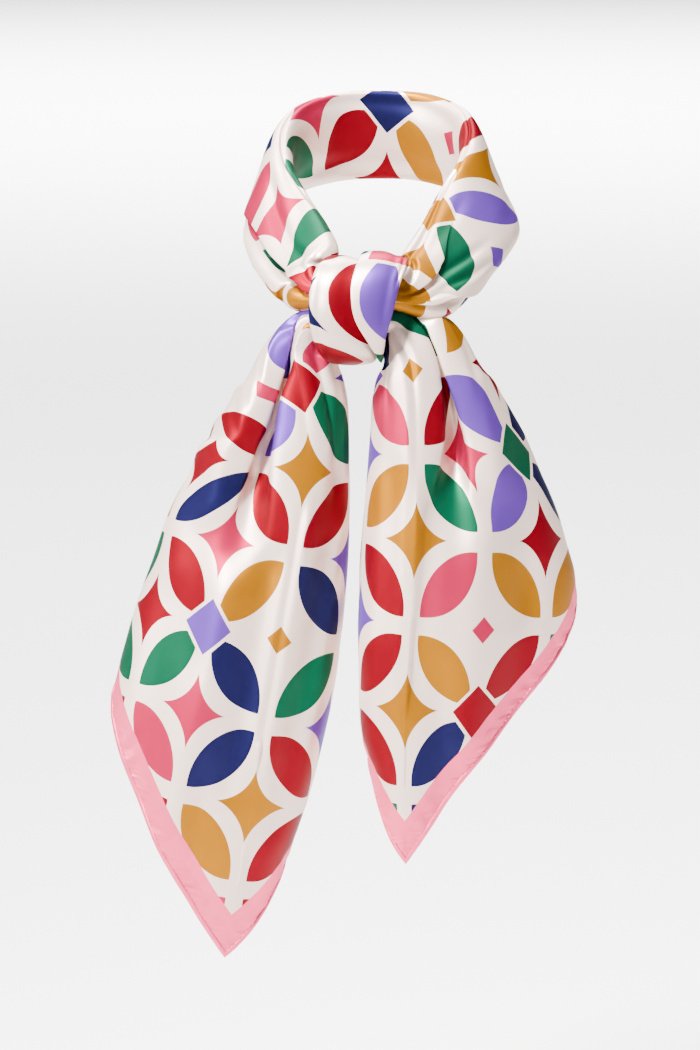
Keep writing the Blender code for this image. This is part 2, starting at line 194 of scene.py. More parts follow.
# -------- the knot
KNOT = (-14.0, -84.0, -39.5)
WRAP_DEEP = 19.0
WRAP_TALL = 28.5
# around: degrees, 0 in front, 90 on top. left, right: reach to each side of the knot's middle.
KNOT_WRAP = [
    # around, left, right, thick
    (-60, 22, 13.5, 9.4),
    (-30, 26.5, 16, 10.8),
    (0, 28.5, 20, 11.6),
    (30, 27.5, 23.5, 11),
    (60, 24, 27.5, 9.6),
    (90, 19.5, 28.5, 8.6),
    (130, 17.5, 23, 8),
    (180, 20, 19, 8),
    (230, 19.5, 14.5, 8),
    (270, 18.5, 12.5, 8.4),
    (300, 22, 13.5, 9.4),
    (330, 26.5, 16, 10.8),
]
WRAP_FOLDS = [
    # line, depth, spread
    ([(-130, 84), (-90, 84), (-52, 55), (-34, 36), (-8, 9), (40, 0), (130, 4)], 1.6, 13),
    ([(-75, -52), (100, -46)], 1, 10),
    ([(-20, 50), (125, 44)], 0.8, 9),
    ([(20, 66), (130, 62)], 1, 7),
]
# The right-hand strand lies over the left one, and narrows away to the right lower down.
WRAP_LAP = [
    (-280, 40), (-180, 62), (-130, 90), (-90, 90), (-70, 80), (-52, 62), (-34, 40), (-8, 13),
    (20, 2), (50, 0), (90, 2), (135, 14), (180, 62), (280, 90),
]
WRAP_LAPS = [(WRAP_LAP, 1, 2.6, 4.4, 40)]
WRAP_ANGLE = -90.0  # how the strand's length lies on the flat square
WRAP_START = (249.0, 490.5)
WRAP_SEAM = -180.0
WRAP_TURNS = (-196.0, 178.0)  # the strand's two ends, tucked one over the other behind
WRAP_TUCK = 1.6
WRAP_TUCK_EASE = 28.0  # degrees
WRAP_ROUNDNESS = 2.2
WRAP_ROWS, WRAP_COLUMNS = 190, 150
CORE_LEFT, CORE_RIGHT = -33.1, 0.6
CORE_DEEP, CORE_TALL = 12.4, 22.2
CORE_ROWS, CORE_COLUMNS = 26, 96
CORE_SHRINK, CORE_SHRINK_OVER = 0.14, 4.0  # how much slimmer it is at its two sides
CORE_CAPS = (5.0, 2.5)  # how far its left and right sides bulge
CORE_CAP_ROWS, CORE_CAP_CLOSED = 8, 0.04  # the share of its size that is left in a cap's middle
CORE_ROUNDNESS = 2.2
CORE_PLEATS = ((0.02, 9, 0.0), (0.015, 14, 1.0))  # height, how many there are, and their start
CORE_START = (420.0, 420.0)

# -------- the hanging ends
# One row a section, from the tip up to the knot. s: distance from the tip along the square's
# diagonal. x, y, z: the front panel's crest. left, right: how far the panel reaches to its
# folded edges. deep_l, deep_r: how far back those edges lie. flat_l, flat_r: how much cloth
# the panel takes to reach them. turn: radius of the fold behind. valley: how deep a fold runs
# down the panel, at this far to the right of its crest.
EndRow = namedtuple("EndRow", "s x y z left right deep_l deep_r flat_l flat_r turn valley at")
LEFT_END = [
    #  s,     x,      y,      z, left, right, deep_l, deep_r, flat_l, flat_r, turn, valley, at
    (0, -92.4, -82, -422, 89, 23, 50, 30, 114, 44, 9, 0, -20),
    (25, -88.1, -87, -396, 89, 23, 50, 30, 114, 44, 9, 0, -20),
    (45, -84.7, -91, -375.5, 89, 25.5, 51, 30, 118, 46, 9, 0, -20),
    (70, -80.4, -95, -349.5, 89, 30, 52, 31, 124, 48, 9, 0, -20),
    (100, -75.2, -98.5, -319.5, 90, 34, 53, 32, 128, 53, 9, 0, -20),
    (130, -70, -101, -289.5, 90.5, 36, 54, 33, 130, 57, 9, 0, -20),
    (160, -64.8, -102, -259.5, 88.5, 37, 53, 34, 129, 59, 9, 0, -21),
    (190, -59.7, -102.5, -229.5, 85, 36, 51, 34, 125, 59, 9, 0, -22),
    (220, -54.5, -102.5, -199, 79.5, 34, 47, 32, 119, 57, 8.5, 1.5, -30),
    (250, -49.3, -102, -169.5, 75, 30.5, 42, 29, 110, 54, 8, 8, -29),
    (280, -45, -100, -140, 66.4, 26.5, 35, 25, 99, 50, 7, 16, -27),
    (310, -43, -97, -110.5, 60.2, 23.4, 27, 20, 86, 44, 6, 21, -23),
    (330, -46, -94, -91, 51.4, 25, 22, 17, 72, 40, 5, 18, -15.5),
    (345, -49, -91.5, -77, 36, 24, 17, 14, 56, 36, 4, 13, -8),
    (360, -50.5, -89, -63, 18, 19.5, 13, 12, 40, 33, 3.4, 9, -2.5),
    (374, -44, -87.5, -50, 9.5, 13, 10, 10, 32, 30, 3, 6, -4.5),
    (386, -34.1, -87.5, -50, 9.5, 9.5, 9, 9, 28, 28, 3, 3, -2),
]
RIGHT_END = [
    #  s,    x,      y,      z, left, right, deep_l, deep_r, flat_l, flat_r, turn, valley, at
    (0, 14, -84, -365.5, 17, 78, 30, 58, 46, 147, 9, 0, 20),
    (25, 13.4, -88, -340, 17, 79, 30, 58, 46, 147, 9, 0, 20),
    (45, 13, -92, -319, 19.5, 81, 30, 59, 47, 147, 9, 0, 20),
    (70, 13.3, -95.5, -293.5, 25.5, 86, 31, 60, 50, 144, 9, 0, 20),
    (100, 14, -99, -262.5, 27.5, 91, 33, 61, 54, 141, 9, 0, 20),
    (130, 15.9, -101.5, -232, 30, 96, 35, 62, 57, 144, 9, 0, 20),
    (150, 17.2, -102, -212, 30.6, 97.5, 36, 61, 59, 146, 9, 0, 20),
    (170, 18.3, -102, -191.5, 31.2, 95, 36, 58, 60, 145, 9, 0.5, 20),
    (190, 19.3, -101.5, -171.5, 30.7, 88, 35, 53, 59, 136, 9, 3.5, 20),
    (220, 19.6, -100, -141.5, 28.6, 76, 31, 44, 55, 120, 8, 11, 21),
    (250, 19.5, -97.5, -111.5, 26.5, 62.5, 27, 35, 51, 98, 7, 20, 22),
    (280, 18, -94.5, -82, 23, 44.5, 19, 24, 43, 70, 5, 18, 17.5),
    (298, 15, -91.5, -66, 17.5, 33.5, 14, 18, 38, 56, 4, 13, 15.2),
    (310, 9.5, -89, -56, 12, 28, 11, 13, 33, 50, 3.2, 9, 15),
    (321, 6, -87.5, -50.5, 10.5, 22, 9.5, 9.5, 30, 42, 3, 6, 11.5),
    (330, 1.6, -87.5, -50, 9.5, 10, 9, 9, 28, 28, 3, 3, 8),
]
# Softer folds of the panels. line: (s, at) points, at being the distance to the right of the
# crest. depth: back is more, a ridge is less than nothing. width: of its half. reach: how far
# its right lip, or left one if less than nothing, hangs over it.
LEFT_FOLDS = [
    # line, depth, width, reach
    ([(236, -56), (280, -52), (314, -42), (345, -25), (376, -13)], -3, 10, 0),
    ([(262, 17), (320, 13), (350, 11), (376, 7)], 2.8, 4.5, -1.6),
    ([(150, -50), (300, -62)], 2.8, 10, 0),
    ([(40, -44), (235, -34)], -4.6, 13, 0),
    ([(20, -66), (220, -68)], 4.2, 11, 0),
    ([(60, 14), (200, 20), (310, 17)], 3.2, 7, 0),
    ([(100, 3), (280, 4)], -2.8, 7.5, 0),
    ([(80, -15), (250, -12)], 3.4, 8, 0),
    ([(10, -24), (120, -30)], 2.6, 9, 0),
    ([(-10, 8), (90, 2)], 1.4, 8, 0),
]
RIGHT_FOLDS = [
    # line, depth, width, reach
    ([(205, 52), (250, 44), (280, 32), (300, 23), (324, 17)], -3, 8.5, 0),
    ([(262, -16), (290, -14), (310, -10), (326, -4)], 2.6, 4, 2),
    ([(214, -4), (262, -2), (312, 2)], -1.6, 8, 0),
    ([(130, 64), (262, 62)], 2.8, 10, 0),
    ([(50, 34), (210, 40)], -4.4, 13, 0),
    ([(20, 58), (190, 72)], 4, 11, 0),
    ([(50, -15), (250, -14)], 3, 7, 0),
    ([(80, 4), (235, 8)], 3.2, 8.5, 0),
    ([(10, 24), (130, 18)], 2.6, 9, 0),
    ([(-10, -6), (90, -4)], 1.3, 8, 0),
]
ARCH = 1.9  # roundness of the panel from its crest to each folded edge
VALLEY_WIDE, VALLEY_NARROW = 14.0, 4.4  # its half, from low down up to the knot
VALLEY_FROM, VALLEY_TO = 0.60, 0.93  # over this share of the end's length
VALLEY_LIP = 1.1  # of its half: how far its two rims lean over it, near the knot
VALLEY_LIP_TO = 0.88  # the share of the length where they lean so far
VALLEY_RIM, VALLEY_ROUND = 1.3, 0.5  # where the rims are, and how round, in halves
VALLEY_CLOSER, VALLEY_CLOSER_WIDE = 2.5, 2.0  # how much closer points are, over how many halves
VALLEY_FULL = 6.0  # the depth from which it has all of its lips and closer points
VALLEY_CLOTH_TO = 0.68  # the share of the length where all the silk that it takes is counted
FOLD_LIP = 0.35  # how far a fold's lip stands up, for how far it hangs over
INNER_TURN = 0.4  # of the outer flap's turn
INNER_CLEAR = 1.0
FLAP_SHORT = 2.0
FLAP_CLEAR = 2.0
FLAP_SHOWS = 0.5  # share of the puckers and gathers that the flap keeps
PANEL_EASE = 8.0  # the folds fade out over this, before the panel's folded edge
END_ROW = 2.2  # spacing of a hanging end's rows
PANEL_COLUMNS, FLAP_COLUMNS, TURN_COLUMNS = 84, 34, 9
CURVE_POINTS = 120
END_EASE = 26.0
PUCKER = 0.26  # how far the border stands up and down beside its stitches
PUCKER_REACH = 5.0
PUCKER_WAVES = (11.5, 17.0)
GATHER = 0.25  # height of the fine gathers next to the knot
GATHER_WAVES = (10.0, 16.5)
GATHER_FROM = 0.72  # they start at this share of an end's length
GATHER_EASE = 60.0

HEM_WIDE = 3.2
HEM_THICK = 1.9
HEM_SIDES = 12
HEM_PAST = 0.6  # how far it reaches past the cloth's edge
HEM_NEAR = 0.5  # a row whose cloth comes this near the square's edge is hemmed
HEM_UNEVEN = ((0.08, 0.9), (0.05, 0.37))  # its waves: height, and turn from row to row
STITCH_SPACING = 3.0
STITCH_LONG = 1.5
STITCH_THICK = 0.45
STITCH_OFF = 0.35  # from the middle of the cloth's thickness
STITCH_FORM = (6, 5, 0.5)  # segments, rings and radius of the ball that is drawn out

# -------- the studio, in metres
CAMERA_AIM = Vector((-0.0187, -0.060, -0.1688))
CAMERA_AWAY = 3.0
CAMERA_ELEVATION = 8.0
CAMERA_LENS, CAMERA_SENSOR = 175.8, 36.0
CAMERA_SEES = 120.0
FLOOR = -0.60
FLOOR_REACH = 40.0
FLOOR_CORNERS = ((-1, -1), (1, -1), (1, 1), (-1, 1))
SCARF = (0.0, -0.06, -0.15)
WORLD_COLOUR, WORLD_STRENGTH = (1.0, 0.94, 0.88, 1.0), 0.06
SOFTBOXES = [
    # name, place, aim, size, watts, spread of the honeycomb grid on it
    ("key_softbox", (-1.1, -1.6, 2.6), SCARF, 0.7, 52, 45),
    ("strip_softbox", (-1.9, -2.1, 0.9), SCARF, 0.3, 9, 45),
    ("fill_softbox", (1.7, -2.0, 0.5), SCARF, 1.2, 0.3, 50),
    ("top_softbox", (0.2, 0.5, 1.9), SCARF, 1.2, 1.2, 50),
    ("near_floor_softbox", (0.0, 2.0, 3.2), (0.0, 2.0, FLOOR), 2.5, 260, 110),
    ("far_floor_softbox", (0.0, 11.0, 6.5), (0.0, 13.0, FLOOR), 7.0, 5200, 140),
    ("side_floor_softbox", (-10.0, 2.0, 6.5), (-12.0, 2.4, FLOOR), 7.0, 4600, 140),
    ("side_floor_softbox", (10.0, 2.0, 6.5), (12.0, 2.4, FLOOR), 7.0, 4600, 140),
    ("side_floor_softbox", (0.0, -11.0, 6.5), (0.0, -13.2, FLOOR), 7.0, 4600, 140),
]


# -------- working out the cloth's form
def eased(table, at):
    """A table's rows at places between its rows, on a smooth curve through them all."""
    rows = np.array(table, float)
    keys = rows[:, 0]
    at = np.clip(np.asarray(at, float), keys[0], keys[-1])
    k = np.clip(np.searchsorted(keys, at) - 1, 0, len(keys) - 2)
    step = (keys[k + 1] - keys[k])[..., None]
    share = (at - keys[k])[..., None] / step
    slopes = np.gradient(rows, keys, axis=0)
    return (
        (2 * share**3 - 3 * share**2 + 1) * rows[k]
        + (share**3 - 2 * share**2 + share) * slopes[k] * step
        + (3 * share**2 - 2 * share**3) * rows[k + 1]
        + (share**3 - share**2) * slopes[k + 1] * step
    )


def unit(vectors):
    return vectors / np.linalg.norm(vectors, axis=-1, keepdims=True)


def bump(away):
    """A soft round trough's share of its depth. away: in its own widths."""
    return np.exp(-(away**2))


def rim(away):
    """The two sides of a valley where they bend over it, -1 on one side and 1 on the other."""
    return np.sign(away) * bump((np.abs(away) - VALLEY_RIM) / VALLEY_ROUND)


def lip(away):
    """An odd wave: -1 and 1 at a width before and after the middle, and nothing far off."""
    return away * np.exp(0.5 - away**2 / 2)


def window(at, start, end, ease):
    """1 between start and end, easing to 0 inside them."""
    rise = np.clip((at - start) / ease, 0.0, 1.0)
    fall = np.clip((end - at) / ease, 0.0, 1.0)
    return (rise * rise * (3 - 2 * rise)) * (fall * fall * (3 - 2 * fall))


def line_of(at, start, end, first, last):
    """From first to last in a straight line, between start and end."""
    share = np.clip((at - start) / (end - start), 0.0, 1.0)
    return first + (last - first) * share


def turned(place, line):
    """How far round from a line a place is, in degrees from -180 to 180."""
    return (place - line + 180.0) % 360.0 - 180.0


def along_line(line, at):
    """The place that a lap's line has reached."""
    return float(eased(line, at)[1])


def share_of(line, at, ease):
    """How much of a fold or lap there is at a place along it."""
    return float(window(at, line[0][0], line[-1][0], ease))


def totals(steps):
    """Running totals, from 0."""
    return np.concatenate(([0.0], np.cumsum(steps)))


def spaced(even, density, count):
    """Places along a length, closer together where their density is high."""
    total = totals((density[1:] + density[:-1]) / 2)
    return np.interp(np.linspace(0.0, total[-1], count + 1), total, even)


def places_of(laps, at, columns, seam):
    """Places round a section, closer together at its laps. They start at the seam."""
    even = np.linspace(seam, seam + 360.0, SECTION_PLACES)
    density = np.ones_like(even)
    for line, *_ in laps:
        away = turned(even, along_line(line, at))
        near = bump(away / (LAP_WIDTH * LAP_CLOSER_WIDE))
        density += LAP_CLOSER * share_of(line, at, LAP_EASE) * near
    return spaced(even, density, columns)


def rounding_of(rise, out, roundness):
    """How far a rounded section reaches, for an ellipse's reach of 1."""
    return (np.abs(rise) ** roundness + np.abs(out) ** roundness) ** (-1 / roundness)


def roll_rows(frames, forms, folds, laps, ats, columns, seam, from_lap=False):
    """Sections of a flattened roll: their points, how much cloth lies before each of them, and
    how much shows round a section.

    frames: middle, outward and across of each section. forms: wide, thick and roundness.
    from_lap: the cloth is measured from the first lap and not from the section's outer face.
    """
    points, cloth, girths = [], [], []
    for (middle, outward, across), (wide, thick, roundness), at in zip(frames, forms, ats):
        places = places_of(laps, at, columns, seam)
        angle = np.radians(places)
        rise, out = np.sin(angle), np.cos(angle)
        rounding = rounding_of(rise, out, roundness)
        u = out * rounding * thick / 2
        v = rise * rounding * wide / 2
        normal = unit(np.stack([out * wide, rise * thick], axis=-1))
        tangent = np.stack([-normal[:, 1], normal[:, 0]], axis=-1)
        lift = np.zeros_like(u)
        shift = np.zeros_like(u)
        hidden = np.zeros_like(u)
        for line, deep, spread in folds:
            away = turned(places, along_line(line, at))
            lift -= deep * share_of(line, at, FOLD_EASE) * bump(away / spread)
        for line, toward, step, reach, take_up in laps:
            share = share_of(line, at, LAP_EASE)
            on_line = along_line(line, at)
            away = turned(places, on_line)
            width = away / LAP_WIDTH
            layer = toward * np.tanh(width * LAP_STEEP) * bump(away / LAP_SOFT)
            lift += step * share * layer * np.where(layer < 0, LAP_SINKS, LAP_STANDS)
            shift -= reach * share * lip(width)
            past = (places - on_line) / (LAP_WIDTH * LAP_HIDES)
            hidden += take_up * share**2 / (1 + np.exp(-np.clip(past, -STEEPEST, STEEPEST)))
        small = np.clip((wide - SLIM_FROM) / SLIM_OVER, SLIM_LEAST, 1.0)
        lift *= small
        shift *= small
        u = u + normal[:, 0] * lift + tangent[:, 0] * shift
        v = v + normal[:, 1] * lift + tangent[:, 1] * shift
        arc = totals(np.hypot(np.diff(u), np.diff(v)))
        points.append(middle + outward * u[:, None] + across * v[:, None])
        measured_from = along_line(laps[0][0], at) if from_lap else 0.0
        cloth.append(arc - np.interp(measured_from, places, arc) + hidden)
        girths.append(arc[-1])
    return np.array(points), np.array(cloth), float(np.mean(girths))


def neck_frames(turns):
    """Where each section of the roll lies, and how it is turned."""
    rows = eased(NECK_ROLL, turns)
    along = unit(eased(NECK_ROLL, turns + 1.0)[:, 1:4] - eased(NECK_ROLL, turns - 1.0)[:, 1:4])
    outward = unit(np.cross((0.0, 0.0, 1.0), along))
    upward = np.cross(along, outward)
    tilt = np.radians(rows[:, 4])[:, None]
    across = upward * np.cos(tilt) - outward * np.sin(tilt)
    facing = outward * np.cos(tilt) + upward * np.sin(tilt)
    forms = [(wide, thick, NECK_ROUNDNESS) for wide, thick in rows[:, 5:7]]
    return list(zip(rows[:, 1:4], facing, across)), forms


def wrap_frames(arounds):
    """Where each section of the knot's wrap lies, and how it is turned."""
    frames, forms = [], []
    for around in arounds:
        angle = math.radians(around)
        ahead, up = math.cos(angle), math.sin(angle)
        _, left, right, thick = eased(KNOT_WRAP, (around + 60.0) % 360.0 - 60.0)
        tuck = WRAP_TUCK * bump((around - WRAP_TURNS[0]) / WRAP_TUCK_EASE)
        deep, tall = WRAP_DEEP - tuck, WRAP_TALL - tuck
        middle = np.array(KNOT) + ((right - left) / 2, -ahead * deep, up * tall)
        outward = unit(np.array([0.0, -ahead / WRAP_DEEP, up / WRAP_TALL]))
        frames.append((middle, outward, np.array([1.0, 0.0, 0.0])))
        forms.append((left + right, thick, WRAP_ROUNDNESS))
    return frames, forms


def along_middles(frames):
    """How far along a roll its sections lie."""
    middles = np.array([middle for middle, _, _ in frames])
    return totals(np.linalg.norm(np.diff(middles, axis=0), axis=1))


def flat_on(along, across, angle, start):
    """Places on the flat square for cloth that runs at an angle to its edges."""
    turn = math.radians(angle)
    x = start[0] + along * math.cos(turn) - across * math.sin(turn)
    y = start[1] + along * math.sin(turn) + across * math.cos(turn)
    return np.stack([x, y], axis=-1)


# -------- making the meshes
def in_scene(name, data):
    """A new object, in the scene."""
    made = bpy.data.objects.new(name, data)
    bpy.context.scene.collection.objects.link(made)
    return made


def shell(name, points, faces, flat, material, thickness=SILK, offset=-1.0):
    """A closed thin shell of cloth on a surface, with its flat places as its UV map."""
    mesh = bpy.data.meshes.new(name)
    mesh.from_pydata((np.asarray(points) * MM).tolist(), [], faces)
    layer = mesh.uv_layers.new(name="flat")
    layer.data.foreach_set("uv", (np.asarray(flat) * MM).ravel().astype(np.float32))
    mesh.materials.append(material)
    mesh.update()
    piece = in_scene(name, mesh)
    mesh.shade_smooth()
    if thickness:
        wall = piece.modifiers.new("silk", "SOLIDIFY")
        wall.thickness = thickness * MM
        wall.offset = offset
        wall.use_even_offset = False
    return piece


def tube_faces(rows, columns):
    """The faces between a tube's sections, which are rings of points."""
    faces = []
    for first in range(0, (rows - 1) * columns, columns):
        for k in range(columns):
            n = (k + 1) % columns
            faces.append((first + k, first + n, first + columns + n, first + columns + k))
    return faces


def woven(name, points, flat, material):
    """A shell from rows of points. Each row is a closed section whose last point is its first."""
    rows, columns = points.shape[0], points.shape[1] - 1
    corners = np.stack([flat[:-1, :-1], flat[:-1, 1:], flat[1:, 1:], flat[1:, :-1]], axis=2)
    faces = tube_faces(rows, columns)
    return shell(name, points[:, :columns].reshape(-1, 3), faces, corners, material)


def arch(reach, deep, side):
    """The panel from its crest to one folded edge: (along the width, back) points."""
    angle = np.linspace(0.0, math.pi / 2, CURVE_POINTS)
    out = np.sin(angle) ** (2 / ARCH)
    back = 1.0 - np.cos(angle) ** (2 / ARCH)
    return np.stack([side * reach * out, deep * back], axis=-1)


def flap(reach, deep, side, inset, far, far_deep):
    """The flap behind: a quarter turn at the folded edge, then straight to its far end."""
    a = np.linspace(0.0, math.pi / 2, CURVE_POINTS // 4)
    start = np.array([side * reach, deep])
    bend = start + np.stack([-side * inset * (1 - np.cos(a)), inset * np.sin(a)], axis=-1)
    return np.vstack([bend, (far, far_deep)])


def sums_of(path):
    """How far along a path its points lie."""
    return totals(np.hypot(*np.diff(path, axis=0).T))


def placed(path, lengths):
    """Points this far along a path."""
    sums = sums_of(path)
    return np.stack([np.interp(lengths, sums, path[:, axis]) for axis in (0, 1)], axis=-1)


def end_half(row, side, outermost, folds, top):
    """Half of an end's section, from the crest out: how far out its points are on a plain panel
    and on the cloth, and where they are.
    """
    left, right = (row.left, row.deep_l, row.flat_l), (row.right, row.deep_r, row.flat_r)
    reach, deep, flat = left if side < 0 else right
    other, other_deep, _ = right if side < 0 else left
    front = arch(reach, deep, side)
    shrink = sums_of(front)[-1] / flat
    panel = min(row.s, flat)
    high = line_of(row.s, VALLEY_FROM * top, VALLEY_TO * top, 0.0, 1.0)
    valley_wide = VALLEY_WIDE + (VALLEY_NARROW - VALLEY_WIDE) * high
    even = np.linspace(0.0, panel, 2 * CURVE_POINTS)
    away = (placed(front, even * shrink)[:, 0] - row.at) / (VALLEY_CLOSER_WIDE * valley_wide)
    valley_share = min(1.0, max(0.0, row.valley) / VALLEY_FULL)
    out = spaced(even, 1.0 + VALLEY_CLOSER * valley_share * bump(away), PANEL_COLUMNS)
    points = placed(front, out * shrink)
    if row.s > flat:
        if outermost:
            inset, short, clear = row.turn, FLAP_SHORT, row.turn + FLAP_CLEAR
        else:
            inset, short, clear = row.turn * INNER_TURN, row.turn + INNER_CLEAR, INNER_CLEAR
        behind = flap(reach, deep, side, inset, -side * (other - short), other_deep + clear)
        reach_behind = min((row.s - flat) * shrink, sums_of(behind)[-1])
        bend = min(math.pi / 2 * row.turn, reach_behind * TURN_COLUMNS / FLAP_COLUMNS)
        level = np.linspace(bend, reach_behind, FLAP_COLUMNS - TURN_COLUMNS + 1)
        lengths = np.concatenate([np.linspace(0.0, bend, TURN_COLUMNS + 1)[1:], level[1:]])
        points = np.vstack([points, placed(behind, lengths)])
        out = np.concatenate([out, flat + lengths / shrink])
    along = np.gradient(points, axis=0)
    normal = unit(side * np.stack([along[:, 1], -along[:, 0]], axis=-1) + (0.0, -1e-6))
    away = (points[:, 0] - row.at) / valley_wide
    back = row.valley * bump(away)
    leaning = line_of(row.s, VALLEY_FROM * top, VALLEY_LIP_TO * top, 0.0, VALLEY_LIP)
    shift = -leaning * valley_share * valley_wide * rim(away)
    for line, depth, width, reach_over in folds:
        share = window(row.s, line[0][0], line[-1][0], END_EASE)
        away = (points[:, 0] - along_line(line, row.s)) / width
        back = back + depth * share * bump(away)
        shift = shift - abs(reach_over) * share * lip(away)
        back = back - FOLD_LIP * reach_over * share * lip(away)
    edge = (row.s - out) / ROOT_2
    run = (row.s + out) / ROOT_2
    waves = sum(np.sin(2 * math.pi * run / wave + side + wave) for wave in PUCKER_WAVES)
    lift = PUCKER * edge / PUCKER_REACH * np.exp(1.0 - edge / PUCKER_REACH) * waves
    gather = GATHER * window(row.s, GATHER_FROM * top, 2.0 * top, GATHER_EASE)
    lift = lift + gather * sum(np.cos(2 * math.pi * side * out / w + w) for w in GATHER_WAVES)
    fade = window(out, -1.0, flat + 1.0, PANEL_EASE) if row.s > flat else 1.0
    points = points + normal * (lift * np.where(out > flat, FLAP_SHOWS, 1.0))[:, None]
    folded = points + np.stack([shift * fade, back * fade], axis=-1)
    taken = sums_of(folded) - sums_of(points)
    taken *= line_of(row.s, VALLEY_FROM * top, VALLEY_CLOTH_TO * top, 0.0, 1.0)
    if row.s > flat:
        behind_share = np.clip((out - flat) / (out[-1] - flat + 1e-6), 0.0, 1.0)
        taken *= 1.0 - behind_share
    return out, out + taken, folded


def hanging_end(name, table, folds, outer_side, tip_flat, material):
    """A pointed end and its hem's line: one shell, its sides folded behind."""
    lengths = np.array([row[0] for row in table], float)
    count = int(round(lengths[-1] / END_ROW))
    rows_at = np.linspace(0.0, lengths[-1], count + 1)
    points = [eased(table, 0.0)[1:4]]
    cloth = [(0.0, 0.0)]
    faces = []
    strips = {-1: [0], 1: [0]}
    hem = {-1: [], 1: []}
    for s in rows_at[1:]:
        row = EndRow(*eased(table, s))
        middle = np.array([row.x, row.y, row.z])
        along = unit(eased(table, s + 1.0)[1:4] - eased(table, s - 1.0)[1:4])
        lateral = unit(np.cross((0.0, 1.0, 0.0), along))
        back = np.cross(along, lateral)
        crest_at = len(points)
        for side in (-1, 1):
            out, on_cloth, half = end_half(row, side, side == outer_side, folds, lengths[-1])
            placed_half = middle + lateral * half[:, :1] + back * half[:, 1:]
            if side < 0:
                points.append(placed_half[0])
                cloth.append((s, 0.0))
            here = [crest_at] + list(range(len(points), len(points) + len(out) - 1))
            points += list(placed_half[1:])
            cloth += [(s, side * t) for t in on_cloth[1:]]
            before = strips[side]
            last = len(before) - 1
            for k in range(len(here) - 1):
                quad = [before[min(k, last)], before[min(k + 1, last)], here[k + 1], here[k]]
                face = [v for n, v in enumerate(quad) if v not in quad[:n]]
                faces.append(tuple(face if side > 0 else reversed(face)))
            strips[side] = here
            if out[-1] > s - HEM_NEAR:
                hem[side].append((placed_half[-1], placed_half[-1] - placed_half[-3]))
    cloth = np.array(cloth)
    sign = 1.0 if tip_flat == 0.0 else -1.0
    edges = np.stack([cloth[:, 0] + cloth[:, 1], cloth[:, 0] - cloth[:, 1]], axis=-1)
    flat = tip_flat + sign * edges / ROOT_2
    corners = [flat[v] for face in faces for v in face]
    piece = shell(name, points, faces, corners, material, offset=0.0)
    tip = (points[0], np.array([0.0, 0.0, -1.0]))
    line = hem[-1][::-1] + [tip] + hem[1]
    return piece, line, area_of(cloth, faces)


def area_of(flat, faces):
    """The flat area of cloth under its faces, in square metres."""
    total = 0.0
    for face in faces:
        corners = flat[list(face)]
        x, y = corners[:, 0], corners[:, 1]
        total += abs(np.dot(x, np.roll(y, -1)) - np.dot(y, np.roll(x, -1))) / 2
    return total * MM * MM


# -------- materials
def linear(hexed):
    """An sRGB hex colour as the linear one that a shader takes."""
    parts = [int(hexed[k : k + 2], 16) / 255 for k in (0, 2, 4)]
    return [c / 12.92 if c <= 0.04045 else ((c + 0.055) / 1.055) ** 2.4 for c in parts] + [1.0]


def put(tree, kind, *values, **settings):
    """Adds a node with its settings and its inputs' values or links, and gives its output."""
    made = tree.nodes.new(kind)
    for key, value in settings.items():
        setattr(made, key, value)
    for socket, value in zip(made.inputs, values):
        if isinstance(value, bpy.types.NodeSocket):
            tree.links.new(value, socket)
        elif value is not None:
            socket.default_value = value
    return made.outputs[0] if made.outputs else made


def one_dye(name, dye):
    """A material in one colour, with its tree and shader."""
    material = bpy.data.materials.new(name)
    material.use_nodes = True
    shader = material.node_tree.nodes["Principled BSDF"]
    shader.inputs["Base Color"].default_value = linear(dye)
    return material, material.node_tree, shader


def silk_material(name, dye):
    """Satin-faced mulberry silk. Its filaments lie close, so the eye gets a broad, soft gloss
    that is strong in the dye's own colour and stays low where the cloth turns away.
    """
    material, tree, shader = one_dye(name, dye)
    for socket, value in SILK_FINISH:
        shader.inputs[socket].default_value = value
    return material, tree, shader


def add_weave(tree, shader, flat, puckers=None):
    """A twill's slanting lines, drawn several times as coarse as real, and its slubs. They break
    the gloss up a little, so that it looks like thread.
    """
    often = 0.1 * math.pi / (TWILL_DRAWN * MM)  # the wave node has 10 radians in a unit
    lines = put(
        tree, "ShaderNodeTexWave", flat, often, TWILL_STRAYS, 1.0, 1.0, 0.5,
        wave_type="BANDS", bands_direction="DIAGONAL",
    )
    slubs = put(tree, "ShaderNodeTexNoise", flat, None, 1 / (SLUB * MM), 3.0, 0.5)
    threads = lines.node.outputs["Fac"]
    height = put(tree, MATH, threads, SLUB_SHARE, slubs, operation="MULTIPLY_ADD")
    drawn_in = puckers and put(tree, BUMP, 1.0, PUCKER_DEEP * MM, None, puckers)
    relief = put(tree, BUMP, TWILL_STRENGTH, TWILL_DEEP * MM, None, height, drawn_in)
    tree.links.new(relief, shader.inputs["Normal"])
    finish = put(tree, "ShaderNodeTexNoise", flat, None, 1 / (UNEVEN * MM), 2.0, 0.5)
    least = SILK_ROUGHNESS - GLOSS_VARIES / 2
    gloss = put(tree, MATH, finish, GLOSS_VARIES, least, operation="MULTIPLY_ADD")
    tree.links.new(gloss, shader.inputs["Roughness"])


def petal(tree, along, off, clear):
    """1 inside the two arcs that meet at a petal's tips, where the print is clear for it."""
    long, wide = PETAL_LONG / PITCH, PETAL_WIDE / PITCH
    radius = (long * long + wide * wide) / (2 * wide)
    side = put(tree, MATH, off, operation="ABSOLUTE")
    out = put(tree, MATH, side, radius - wide, operation="ADD")
    out_squared = put(tree, MATH, out, out, operation="MULTIPLY")
    away = put(tree, MATH, along, along, out_squared, operation="MULTIPLY_ADD")
    inside = put(tree, MATH, away, radius * radius, operation="LESS_THAN")
    return put(tree, MATH, inside, clear, operation="MULTIPLY")


